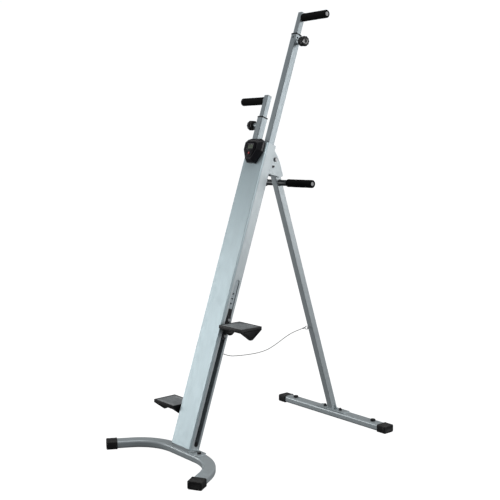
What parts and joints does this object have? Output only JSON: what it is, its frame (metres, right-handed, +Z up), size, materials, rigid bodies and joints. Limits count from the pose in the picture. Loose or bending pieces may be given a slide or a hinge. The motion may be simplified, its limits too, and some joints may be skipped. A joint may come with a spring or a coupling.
{
  "type": "vertical climber machine",
  "caption": "Folding vertical climber: leaning column with two counter-moving slider tubes that carry pedals and telescoping handles, a rear support leg, and a small display.",
  "frame": {"origin": "on the floor under the middle of the footprint", "axes": "+Z up, the user stands on the -Y side facing +Y, +X to the user's right"},
  "size_m": [0.662, 1.0516, 1.7536],
  "materials": {
    "silver_paint": "satin",
    "cover_paint": "satin",
    "slider_paint": "satin",
    "dark_tube": "satin",
    "steel": "satin",
    "dark_steel": "satin",
    "black_plastic": "matte",
    "grip_foam": "matte",
    "console_grey": "satin",
    "lcd": "gloss",
    "red_plastic": "gloss",
    "belt_rubber": "matte",
    "pale_plug": "matte",
    "cable_coat": "satin"
  },
  "bodies": {
    "frame": {"front_foot_tube": "silver_paint", "front_caps": "black_plastic", "front_saddle": "silver_paint", "saddle_bolts": "dark_steel", "column_channel": "silver_paint", "front_cover": "cover_paint", "top_guide": "black_plastic", "base_block": "black_plastic", "pulley_axles": "steel", "drive_belt": "belt_rubber", "console_housing": "black_plastic", "console_face": "console_grey", "console_lcd": "lcd", "hinge_bracket": "silver_paint", "hinge_lugs": "silver_paint", "hinge_rivets": "dark_steel", "pivot_bolt": "steel", "cable_anchor": "steel", "cable_ferrule": "steel", "safety_cable": "cable_coat"},
    "leg": {"leg_tube": "silver_paint", "pivot_bushes": "steel", "static_bar": "dark_tube", "static_grips": "grip_foam", "rear_foot_tube": "silver_paint", "rear_caps": "black_plastic", "rear_saddle": "silver_paint", "rear_bolts": "dark_steel", "leg_eye": "steel", "cable_hook": "steel"},
    "upper_pulley": {"upper_pulley": "black_plastic"},
    "lower_pulley": {"lower_pulley": "black_plastic"},
    "console_button": {"console_button": "red_plastic"},
    "right_leveler": {"right_leveler": "black_plastic"},
    "left_leveler": {"left_leveler": "black_plastic"},
    "right_slider": {"right_slider_tube": "slider_paint", "right_bush": "black_plastic", "right_carriage": "black_plastic", "right_pedal_bracket": "dark_steel", "right_pedal": "black_plastic", "right_pedal_bolts": "steel", "right_knob_neck": "slider_paint"},
    "right_handle": {"right_handle_tube": "slider_paint", "right_grip": "grip_foam", "right_handle_plugs": "pale_plug"},
    "right_knob": {"right_knob": "black_plastic", "right_knob_pin": "steel"},
    "left_slider": {"left_slider_tube": "slider_paint", "left_bush": "black_plastic", "left_carriage": "black_plastic", "left_pedal_bracket": "dark_steel", "left_pedal": "black_plastic", "left_pedal_bolts": "steel", "left_knob_neck": "slider_paint"},
    "left_handle": {"left_handle_tube": "slider_paint", "left_grip": "grip_foam", "left_handle_plugs": "pale_plug"},
    "left_knob": {"left_knob": "black_plastic", "left_knob_pin": "steel"}
  },
  "joints": [
    {"name": "leg_fold", "type": "hinge", "parent": "frame", "child": "leg", "pos_m": [0, 0.1179, 1.1555], "axis": [-1, 0, 0], "range_deg": [0, 34], "deforming": ["safety_cable"]},
    {"name": "right_stride", "type": "slide", "parent": "frame", "child": "right_slider", "axis": [0, 0.3223, 0.9466], "range_m": [-0.4, 0.055]},
    {"name": "left_stride", "type": "slide", "parent": "frame", "child": "left_slider", "axis": [0, 0.3223, 0.9466], "range_m": [-0.055, 0.4]},
    {"name": "upper_pulley_spin", "type": "hinge", "parent": "frame", "child": "upper_pulley", "pos_m": [0, 0.05051, 1.16813], "axis": [0, 0.9466, -0.3223], "range_deg": [-153.1, 1094.3]},
    {"name": "lower_pulley_spin", "type": "hinge", "parent": "frame", "child": "lower_pulley", "pos_m": [0, -0.31365, 0.09842], "axis": [0, 0.9466, -0.3223], "range_deg": [-153.1, 1094.3]},
    {"name": "console_button_press", "type": "slide", "parent": "frame", "child": "console_button", "axis": [0, 0.9466, -0.3223], "range_m": [0, 0.002], "stiffness_N_per_m": 300, "springref_m": -0.001},
    {"name": "right_leveler_screw", "type": "slide", "parent": "leg", "child": "right_leveler", "axis": [0, 0, 1], "range_m": [0, 0.004]},
    {"name": "left_leveler_screw", "type": "slide", "parent": "leg", "child": "left_leveler", "axis": [0, 0, 1], "range_m": [0, 0.004]},
    {"name": "right_handle_height", "type": "slide", "parent": "right_slider", "child": "right_handle", "axis": [0, 0.3223, 0.9466], "range_m": [-0.025, 0.125]},
    {"name": "right_knob_pull", "type": "slide", "parent": "right_slider", "child": "right_knob", "axis": [1, 0, 0], "range_m": [0, 0.008], "stiffness_N_per_m": 800, "springref_m": -0.004},
    {"name": "left_handle_height", "type": "slide", "parent": "left_slider", "child": "left_handle", "axis": [0, 0.3223, 0.9466], "range_m": [-0.025, 0.125]},
    {"name": "left_knob_pull", "type": "slide", "parent": "left_slider", "child": "left_knob", "axis": [-1, 0, 0], "range_m": [0, 0.008], "stiffness_N_per_m": 800, "springref_m": -0.004}
  ],
  "couplings": [
    {"joint": "left_stride", "follows": "right_stride", "ratio": -1},
    {"joint": "upper_pulley_spin", "follows": "right_stride", "rad_per_m": -47.619},
    {"joint": "lower_pulley_spin", "follows": "right_stride", "rad_per_m": -47.619}
  ]
}
